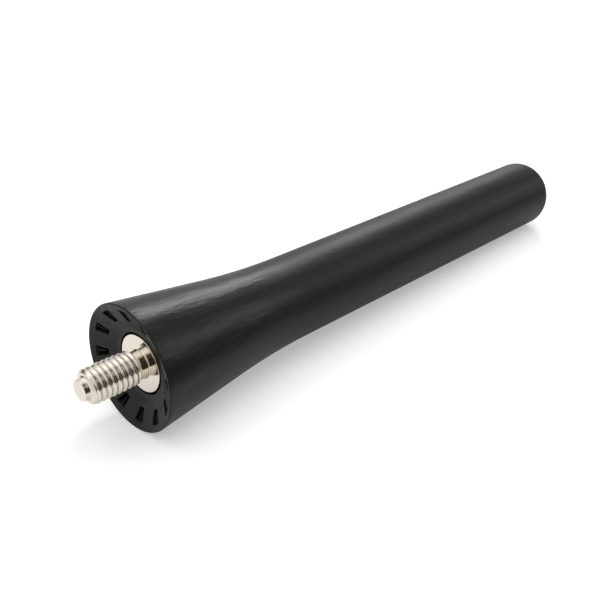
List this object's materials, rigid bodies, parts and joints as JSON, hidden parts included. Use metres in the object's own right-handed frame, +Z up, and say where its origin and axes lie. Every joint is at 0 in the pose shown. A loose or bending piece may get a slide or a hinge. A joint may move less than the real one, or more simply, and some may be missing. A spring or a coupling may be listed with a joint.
{
  "type": "car mast aerial",
  "caption": "Short flexible car aerial: a rubber mast with a flared, dished foot round a threaded metal stud that screws into the aerial base on a car.",
  "frame": {"origin": "on the mast's axis, in the plane of the seat ring at the foot", "axes": "+X along the mast from the seat to the tip, so the stud points to -X, and +Z up"},
  "size_m": [0.1077, 0.0186, 0.0186],
  "materials": {
    "cover_rubber": "satin black moulded rubber",
    "nickel_plate": "bright nickel plate on brass",
    "rod_fibre": "plain glass-fibre rod",
    "winding_copper": "enamelled copper wire"
  },
  "bodies": {
    "root": {"mast_cover": "cover_rubber", "threaded_stud": "nickel_plate", "core_rod": "rod_fibre", "antenna_winding": "winding_copper"}
  },
  "joints": []
}
